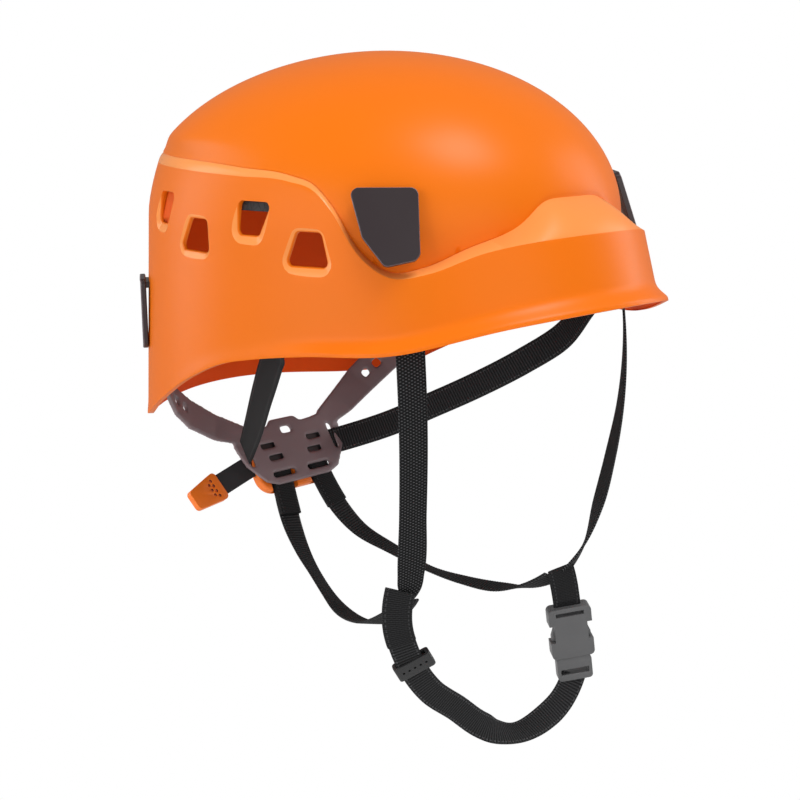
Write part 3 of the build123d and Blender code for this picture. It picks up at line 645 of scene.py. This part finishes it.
# rigid fittings
fittings = [
    ("clip_front_right", "clipFrontRight", clipNylon, "clip_front_right", 1.2, "clip_plastic"),
    ("clip_front_left", "clipFrontLeft", clipNylon, "clip_front_left", 1.2, "clip_plastic"),
    ("clip_rear_right", "clipRearRight", clipNylon, "clip_rear_right", 1.2, "clip_plastic"),
    ("clip_rear_left", "clipRearLeft", clipNylon, "clip_rear_left", 1.2, "clip_plastic"),
    ("nape_adjuster", "napeAdjuster", tabNylon, "cradle", 0.6, "orange_plastic"),
    ("pull_tab", "pullTab", tabNylon, "tab", 0.5, "orange_plastic"),
    ("strap_keeper", "strapKeeper", blackAcetalAndPaintedShade, "keeper", 0.8, "black_plastic"),
    ("buckle_female", "buckleFemale", buckleAcetal, "helmet", 0.6, "buckle_plastic"),
    ("buckle_male", "buckleMale", buckleAcetal, "buckle_male_half", 0.6, "buckle_plastic"),
    ("buckle_prongs", "buckleProngs", buckleAcetal, "buckle_male_half", 0.4, "buckle_plastic"),
    ("strap_anchors", "strapAnchors", blackAcetalAndPaintedShade, "helmet", 0.4, "black_plastic"),
    ("headband_anchors", "headbandAnchors", blackAcetalAndPaintedShade, "helmet", 0.4, "black_plastic"),
    ("cradle_pins", "cradlePins", cradleNylon, "helmet", 0.4, "cradle_plastic"),
]
for node, name, material, body, radius, slotName in fittings:
    moulded(node, name, material, body, radius)

# the clips follow the shell's curve: place and facing of the right-hand plane, lean, radii across and up, seat
clipBends = {"clipFront": ((78.8, -73.0, 87.5), (0.713, -0.701), 18.5, 125.0, 130.0, 0.2),
             "clipRear": ((84.6, 91.7, 35.0), (0.817, 0.577), -1.0, 95.0, 900.0, 0.3)}
for name, (place, facing, lean, acrossRadius, upRadius, seat) in clipBends.items():
    for side, hand in ((-1, "Right"), (1, "Left")):
        origin, front, up, out = surfaceFrame(place, facing, lean, side)
        clip = bpy.data.objects[name + hand]
        clip.data.materials.append(clipEdgePaintedHighlight)
        # the bevel faces take the lighter plum, a painted highlight
        for face in clip.data.polygons:
            face.material_index = int(0.15 < np.array(face.normal) @ out < 0.95)
        for vertex in clip.data.vertices:
            local = np.array(vertex.co) / mm - origin
            if local @ out > 0.2:
                drop = seat + (local @ front) ** 2 / 2 / acrossRadius + (local @ up) ** 2 / 2 / upRadius
                vertex.co = Vector((np.array(vertex.co) / mm - out * drop).tolist()) * mm
        applyModifier(clip, "WEIGHTED_NORMAL", {"weight": 90, "keep_sharp": True})

# small blind holes: five in the keeper's face and seven in the tab's
blindHoles = {
    "strapKeeper": {"middle": (-50.04, -58.98, -116.04), "across": (-0.689, 0.555, -0.467),
                    "facing": (-0.482, -0.831, -0.278), "reach": 2.5, "radius": 0.6,
                    "places": [(-5.8, 0), (-2.9, 0), (0, 0), (2.9, 0), (5.8, 0)]},
    "pullTab": {"middle": (-34, 82.5, -54.8), "across": (-0.966, -0.145, -0.215),
                "facing": (0, -0.829, 0.559), "reach": 1.8, "radius": 0.85,
                "places": [(23, -4.35), (23, -1.45), (23, 1.45), (23, 4.35), (25.3, -2.9), (25.3, 0), (25.3, 2.9)]},
}
for name, holes in blindHoles.items():
    facing = Vector(holes["facing"]).normalized()
    across = Vector(holes["across"])
    across = (across - facing * across.dot(facing)).normalized()
    up = facing.cross(across)
    for x, y in holes["places"]:
        place = Vector(holes["middle"]) + across * x + up * y + facing * holes["reach"]
        bpy.ops.mesh.primitive_cylinder_add(vertices=14, radius=holes["radius"] * mm, depth=1.6 * mm,
                                            location=place * mm, rotation=facing.to_track_quat("Z", "Y").to_euler())
        hole = bpy.context.object
        bpy.ops.object.transform_apply(location=True, rotation=True, scale=True)
        # the holes' walls take the black material: the keeper's own colour, and a painted shade in the orange tab
        hole.data.materials.append(blackAcetalAndPaintedShade)
        hole.data.materials.append(blackAcetalAndPaintedShade)
        for face in hole.data.polygons:
            face.material_index = 1
        if len(bpy.data.objects[name].data.materials) < 2:
            bpy.data.objects[name].data.materials.append(blackAcetalAndPaintedShade)
        cutAway(bpy.data.objects[name], hole)
print("fittings made")


# nape cradle: one moulding whose arms flow into its plate
cradle = {"voxel": 0.75, "relax": 0.5, "passes": 7, "place": (0.0, 83.6, -47.7), "lean": 34.0,
          # recesses in its inner face: across, up, width, height; and how far behind the outer face they end
          "recesses": [(-16, 2.5, 9.4, 3.0), (16, 2.5, 9.4, 3.0), (-13.5, -4.6, 9.4, 3.0), (13.5, -4.6, 9.4, 3.0)],
          "floor": 0.6, "corner": 0.8}
napeCradle = copyOf("nape_cradle", "napeCradle")
applyModifier(napeCradle, "REMESH", {"mode": "VOXEL", "voxel_size": cradle["voxel"] * mm})
applyModifier(napeCradle, "SMOOTH", {"factor": cradle["relax"], "iterations": cradle["passes"]})
smooth(napeCradle, 50)
dress(napeCradle, cradleNylon)
# the recesses' walls and floors take the black material, a painted shade in the plum cradle
napeCradle.data.materials.append(blackAcetalAndPaintedShade)
tilt = math.radians(cradle["lean"])
outerSide = np.array([0, math.cos(tilt), -math.sin(tilt)])
plateUp = np.array([0, math.sin(tilt), math.cos(tilt)])
for x, y, width, height in cradle["recesses"]:
    corners = [(x - width / 2, y + height / 2), (x + width / 2, y + height / 2), (x + width / 2, y - height / 2),
               (x - width / 2, y - height / 2)]
    outline = roundedOutline(corners, cradle["corner"], 0, 4)
    rings = [[np.array(cradle["place"]) + np.array([p[0], 0, 0]) + plateUp * p[1] - outerSide * depth
              for p in outline] for depth in (6, cradle["floor"])]
    cutter = ringStack("recessCutter", rings)
    cutter.data.materials.append(cradleNylon)
    cutter.data.materials.append(blackAcetalAndPaintedShade)
    for face in cutter.data.polygons:
        face.material_index = 1
    cutAway(napeCradle, cutter)
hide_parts("nape_cradle")
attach(napeCradle, "cradle")
print("cradle made", len(napeCradle.data.vertices))


# webbing
webbing = {"width": 14.0, "thickness": 1.3, "rowStep": 0.3, "ribDepth": 0.06, "ribPitch": 1.5}
# cross-section of the ribbon: share of the half width, share of the half thickness
section = [(-1.0, 0.0), (-0.97, 0.6), (-0.9, 0.95), (-0.6, 1.0), (-0.2, 1.0), (0.2, 1.0), (0.6, 1.0), (0.9, 0.95),
           (0.97, 0.6), (1.0, 0.0), (0.97, -0.6), (0.9, -0.95), (0.6, -1.0), (0.2, -1.0), (-0.2, -1.0), (-0.6, -1.0),
           (-0.9, -0.95), (-0.97, -0.6)]


def ribbon(name, route, width=None, thickness=None, ribDepth=None, ribPitch=None):
    # a closed woven ribbon along stations of (point, facing[, width share]) in millimetres
    w = webbing
    width = width or w["width"]
    thickness = thickness or w["thickness"]
    ribDepth = w["ribDepth"] if ribDepth is None else ribDepth
    ribPitch = ribPitch or w["ribPitch"]
    stations = np.array([list(s[0]) + list(s[1]) + [s[2] if len(s) > 2 else 1.0] for s in route], float)
    length = np.linalg.norm(np.diff(stations[:, :3], axis=0), axis=1).sum()
    rows = int(length / w["rowStep"]) + 1
    values = along(stations, np.linspace(0, 1, rows))
    centre, facing, share = values[:, :3], values[:, 3:6], values[:, 6]
    travelled = np.concatenate([[0], np.cumsum(np.linalg.norm(np.diff(centre, axis=0), axis=1))])
    direction = np.gradient(centre, axis=0)
    direction /= np.linalg.norm(direction, axis=1)[:, None]
    across = np.cross(direction, facing)
    across /= np.linalg.norm(across, axis=1)[:, None]
    normal = np.cross(across, direction)
    rib = 1 + ribDepth / (thickness / 2) * np.cos(2 * math.pi * travelled / ribPitch)
    points, uvs = [], []
    for a, b in section:
        offset = across * (a * width / 2 * share)[:, None]
        lift = normal * (b * thickness / 2 * np.where(abs(b) > 0.7, rib, 1.0))[:, None]
        points.append(centre + offset + lift)
        uvs.append(np.stack([np.full(rows, a * width / 2), travelled], 1))
    count = len(section)
    points = np.stack(points, 1).reshape(-1, 3) * mm
    uvs = np.stack(uvs, 1).reshape(-1, 2)
    faces = []
    for row in range(rows - 1):
        for k in range(count):
            a, b = row * count + k, row * count + (k + 1) % count
            faces.append((a, b, b + count, a + count))
    faces.append(tuple(range(count))[::-1])
    faces.append(tuple((rows - 1) * count + k for k in range(count)))
    mesh = bpy.data.meshes.new(name)
    mesh.from_pydata(points.tolist(), [], faces)
    layer = mesh.uv_layers.new(name="weave")
    corners = np.zeros(len(mesh.loops), int)
    mesh.loops.foreach_get("vertex_index", corners)
    layer.data.foreach_set("uv", uvs[corners].ravel())
    piece = bpy.data.objects.new(name, mesh)
    bpy.context.scene.collection.objects.link(piece)
    outwards(piece)
    smooth(piece, 60)
    return piece


routes = {
    "headbandRight": [((-85, -54, 50), (-0.9, -0.4, 0.1)), ((-92, -30, 40), (-0.85, -0.4, 0.25)),
                      ((-94, -18, 33), (-0.75, -0.5, 0.3)), ((-89, -9.5, 25.8), (-0.75, -0.5, 0.3)),
                      ((-83.7, -0.5, 18.2), (-0.75, -0.5, 0.3)), ((-73.5, 17, 3.4), (-0.75, -0.5, 0.3)),
                      ((-53.5, 48.7, -21.4), (-0.75, -0.5, 0.3)), ((-34, 80, -44), (-0.8, -0.35, 0.25))],
    "headbandLeft": [((82, -63, 50), (0.85, -0.5, 0.1)), ((88, -46, 33), (0.9, -0.4, 0.1)),
                     ((91, -27, 14), (0.97, -0.1, 0.2)), ((82, -10.5, 1), (0.9, 0.3, 0.1)),
                     ((70, 12.5, -14), (0.9, 0.35, 0.1)), ((57.5, 36, -27.5), (0.9, 0.35, 0.1)),
                     ((48, 54, -37.5), (0.85, 0.5, 0.0)), ((36, 76.5, -47.5), (0.75, 0.65, -0.1)),
                     ((31, 83.8, -50.5), (0.75, 0.65, -0.1)), ((27, 88, -52.5), (0.6, 0.8, -0.1))],
    "frontStrapRight": [((-72.5, -76.5, 57.5), (-0.55, -0.83, 0)), ((-73, -79, 36), (-0.55, -0.83, 0)),
                        ((-68, -76, 0), (-0.55, -0.83, 0)), ((-61, -69, -40), (-0.5, -0.86, 0)),
                        ((-55.5, -62.5, -70), (-0.5, -0.86, 0)), ((-54.5, -60.5, -78), (-0.5, -0.86, 0), 0.85),
                        ((-55, -59, -84.5), (-0.5, -0.86, 0), 0.3)],
    "rearStrapRight": [((-12, 77.2, -59), (0, 0.83, -0.56)), ((-15, 67, -82), (0, 0.95, -0.3)),
                       ((-18.5, 52.5, -97), (-0.3, 0.7, -0.6)), ((-22, 38, -105.5), (-0.5, 0.35, -0.8)),
                       ((-26, 24, -111), (-0.5, 0.1, -0.9)), ((-31, 8, -114), (-0.3, -0.05, -0.95)),
                       ((-38, -15, -111), (-0.3, -0.3, -0.9)), ((-46, -41, -98), (-0.4, -0.5, -0.8)),
                       ((-52, -56, -86), (-0.3, -0.8, -0.5))],
    "frontStrapLeft": [((72.5, -76.5, 57.5), (0.55, -0.83, 0)), ((74, -79.5, 36), (0.6, -0.8, 0)),
                       ((73.5, -80, -8), (0.75, -0.66, 0)), ((69, -78, -36), (0.85, -0.52, 0)),
                       ((63.5, -75.5, -60), (0.85, -0.52, 0)), ((57, -71.5, -82), (0.5, -0.85, 0), 0.9),
                       ((51.8, -65, -95), (0.2, -0.95, 0.2), 0.5)],
    "rearStrapLeft": [((13, 77.2, -59), (0, 0.83, -0.56)), ((15, 65, -77), (0, 0.9, -0.4)),
                      ((19.5, 51, -91), (-0.1, 0.7, -0.7)), ((25.5, 31.5, -99.5), (-0.2, 0.5, -0.8)),
                      ((31, 10, -106.5), (-0.3, 0.2, -0.9)), ((37, -10.5, -109.5), (-0.1, 0.1, -0.98)),
                      ((42.5, -31, -109.5), (0, 0, -1)), ((47, -46, -106), (-0.3, -0.4, -0.85)),
                      ((50.5, -58, -99), (-0.4, -0.7, -0.6))],
    "loopStrap": [((50, -64, -95), (-0.6, -0.75, 0.2)), ((52.5, -64.8, -105), (-0.62, -0.78, 0)),
                  ((54.3, -65.2, -114.5), (-0.62, -0.78, 0))],
    "chinStrap": [((-58.5, -58.4, -80), (-0.7, -0.7, 0.1)), ((-60.3, -58.4, -93), (-0.7, -0.7, 0.1)),
                  ((-56.2, -58.6, -106.5), (-0.7, -0.7, 0.2)), ((-40, -59.6, -131.6), (-0.7, -0.7, 0.2)),
                  ((-22.5, -60.7, -146), (-0.7, -0.7, 0.2)), ((-7, -61.6, -159), (-0.65, -0.65, 0.35)),
                  ((7, -62.4, -167.5), (-0.5, -0.5, 0.7)), ((22, -63.5, -172), (-0.4, -0.35, 0.85)),
                  ((38, -64.5, -170), (-0.6, -0.5, 0.6)), ((51, -65.3, -164), (-0.68, -0.7, 0.2)),
                  ((60.5, -65.7, -152), (-0.64, -0.77, 0))],
}
routes["chinSleeve"] = [((-58.3, -58.4, -78.5), (-0.7, -0.7, 0.1)), ((-60.3, -58.4, -92), (-0.7, -0.7, 0.1)),
                        ((-57.6, -58.6, -103.5), (-0.7, -0.7, 0.2))]
routes["loopSleeve"] = [((49.6, -64, -93), (-0.6, -0.75, 0.2)), ((52.5, -64.8, -103.5), (-0.62, -0.78, 0)),
                        ((53.7, -65.1, -110.5), (-0.62, -0.78, 0))]
routes["rearSleeveRight"] = [((-12.3, 78.8, -56.5), (0, 0.9, -0.45)), ((-13.6, 73, -68), (0, 0.93, -0.36)),
                             ((-15.2, 66.8, -79), (0, 0.95, -0.3))]
routes["rearSleeveLeft"] = [((13.2, 78.8, -56.5), (0, 0.9, -0.45)), ((14, 71.5, -68), (0, 0.93, -0.36)),
                            ((15.6, 63.8, -78.5), (0, 0.9, -0.4))]
# width and thickness in millimetres where they aren't the webbing's own; a sleeve is webbing folded double and sewn
sizes = {"chinSleeve": (13.8, 3.4), "loopSleeve": (13.6, 3.2), "rearSleeveRight": (13.4, 3.6),
         "rearSleeveLeft": (13.4, 3.6), "frontStrapRight": (12.6, 1.3), "frontStrapLeft": (12.6, 1.3),
         "rearStrapRight": (12.8, 1.3), "rearStrapLeft": (12.8, 1.3), "chinStrap": (13.0, 1.3)}
strapMaterials = {"frontStrapRight": dottedWebbing, "frontStrapLeft": dottedWebbing, "rearStrapRight": ribbedWebbing,
                  "rearStrapLeft": ribbedWebbing, "headbandRight": plainWebbing, "headbandLeft": ribbedWebbing,
                  "loopStrap": plainWebbing, "chinStrap": ribbedWebbing, "chinSleeve": plainWebbing,
                  "loopSleeve": plainWebbing, "rearSleeveRight": plainWebbing, "rearSleeveLeft": plainWebbing}
strapNodes = {"frontStrapRight": "v_strap_right", "rearStrapRight": "v_strap_right",
              "frontStrapLeft": "v_strap_left", "rearStrapLeft": "v_strap_left",
              "headbandRight": "headband_right", "headbandLeft": "headband_left", "loopStrap": "loop_strap",
              "chinStrap": "chin_strap", "chinSleeve": "chin_strap", "loopSleeve": "loop_strap",
              "rearSleeveRight": "v_strap_right", "rearSleeveLeft": "v_strap_left"}
# straps that cross a joint: the body at their far end, where the turn starts and where it ends
strapTurns = {"rearStrapRight": ("cradle", (-18, 52, -97), (-12.5, 74, -66)),
              "rearSleeveRight": ("cradle", (-18, 52, -97), (-12.5, 74, -66)),
              "rearStrapLeft": ("cradle", (19, 51, -91), (13.5, 74, -66)),
              "rearSleeveLeft": ("cradle", (19, 51, -91), (13.5, 74, -66)),
              "headbandRight": ("cradle", (-80, 8, 11), (-36, 77, -42)),
              "headbandLeft": ("cradle", (76, 0, -6), (38, 72, -45)),
              "chinStrap": ("buckle_male_half", (30, -64, -171.5), (58, -65.6, -156))}
for name, route in routes.items():
    ribs = 0.02 if strapMaterials[name] is not ribbedWebbing else None
    width, thickness = sizes.get(name, (webbing["width"], webbing["thickness"]))
    strap = ribbon(name, route, width, thickness, ribs)
    dress(strap, strapMaterials[name])
    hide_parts(strapNodes[name])
    if name in strapTurns:
        body, start, end = strapTurns[name]
        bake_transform(strap)
    else:
        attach(strap, "helmet")
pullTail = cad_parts["pull_strap"]
dress(pullTail, ribbedWebbing)
print("webbing made")


# stage, lights and camera
stage = {
    "floorLevel": -0.45, "floorSize": 6.0, "aim": (0, 0, -0.009), "distance": 0.717, "azimuth": -45.0,
    "elevation": 12.6, "lens": 65.25,
    # name, power in watts, size in metres, place, aim
    "lamps": [("softboxTop", 11.5, (0.5, 0.5), (-0.05, -0.55, 1.2), (0, 0, 0.05)),
              ("stripRearLeft", 6.5, (0.5, 1.2), (-0.75, 1.2, 0.35), (0, 0, 0.03)),
              ("stripFarRight", 6.5, (0.5, 1.2), (1.3, -0.55, 0.35), (0, 0, 0.03)),
              ("fillLeft", 7.0, (0.9, 0.9), (-1.25, 0.15, 0.25), (0, 0, 0)),
              ("fillFront", 4.0, (1.0, 1.0), (-0.55, -1.15, 0.15), (0, 0, 0)),
              ("softboxBelow", 9.0, (1.0, 1.0), (-0.2, -0.2, -1.1), (0, 0, 0))],
    "worldGlow": 0.31,
}


def seenByCamera(tree):
    # 1 where the camera looks straight or through something clear, 0 for all other light
    path = addNode(tree, "ShaderNodeLightPath")
    return addNode(tree, "ShaderNodeMath", {"operation": "MAXIMUM"},
                   {0: path.outputs["Is Camera Ray"], 1: path.outputs["Is Transmission Ray"]})


world = bpy.data.worlds.new("studio")
bpy.context.scene.world = world
world.use_nodes = True
world.node_tree.nodes.clear()
seen = seenByCamera(world.node_tree)
level = addNode(world.node_tree, "ShaderNodeMapRange", {"To Min": stage["worldGlow"], "To Max": 1.0}, {"Value": seen.outputs[0]})
glow = addNode(world.node_tree, "ShaderNodeBackground", {"Color": (1, 1, 1, 1)}, {"Strength": level.outputs["Result"]})
addNode(world.node_tree, "ShaderNodeOutputWorld", {}, {"Surface": glow.outputs[0]})

bpy.ops.mesh.primitive_plane_add(size=stage["floorSize"], location=(0, 0, stage["floorLevel"]))
floor = bpy.context.object
floor.name = "floor"
floorPaint, tree = newMaterial("paintMattWhite")
seen = seenByCamera(tree)
glow = addNode(tree, "ShaderNodeEmission", {"Color": (1, 1, 1, 1), "Strength": 0.55})
paint = addNode(tree, "ShaderNodeBsdfDiffuse", {"Color": (0.8, 0.8, 0.8, 1)})
both = addNode(tree, "ShaderNodeAddShader", {}, {0: paint.outputs[0], 1: glow.outputs[0]})
mixed = addNode(tree, "ShaderNodeMixShader", {}, {0: seen.outputs[0], 1: paint.outputs[0], 2: both.outputs[0]})
finishMaterial(tree, mixed)
dress(floor, floorPaint)
floor.visible_camera = False

for name, power, size, place, aim in stage["lamps"]:
    lamp = bpy.data.lights.new(name, "AREA")
    lamp.shape = "RECTANGLE"
    lamp.size, lamp.size_y = size
    lamp.energy = power
    holder = bpy.data.objects.new(name, lamp)
    holder.location = place
    holder.rotation_euler = (Vector(aim) - Vector(place)).to_track_quat("-Z", "Y").to_euler()
    bpy.context.scene.collection.objects.link(holder)

azimuth, elevation = math.radians(stage["azimuth"]), math.radians(stage["elevation"])
away = Vector((math.sin(azimuth) * math.cos(elevation), -math.cos(azimuth) * math.cos(elevation),
               math.sin(elevation)))
camera = bpy.data.cameras.new("camera")
camera.lens = stage["lens"]
camera.clip_start = 0.01
cameraObject = bpy.data.objects.new("camera", camera)
cameraObject.location = Vector(stage["aim"]) + away * stage["distance"]
cameraObject.rotation_euler = (-away).to_track_quat("-Z", "Y").to_euler()
bpy.context.scene.collection.objects.link(cameraObject)
bpy.context.scene.camera = cameraObject
bpy.context.scene.view_settings.view_transform = "Standard"

print("stage set")
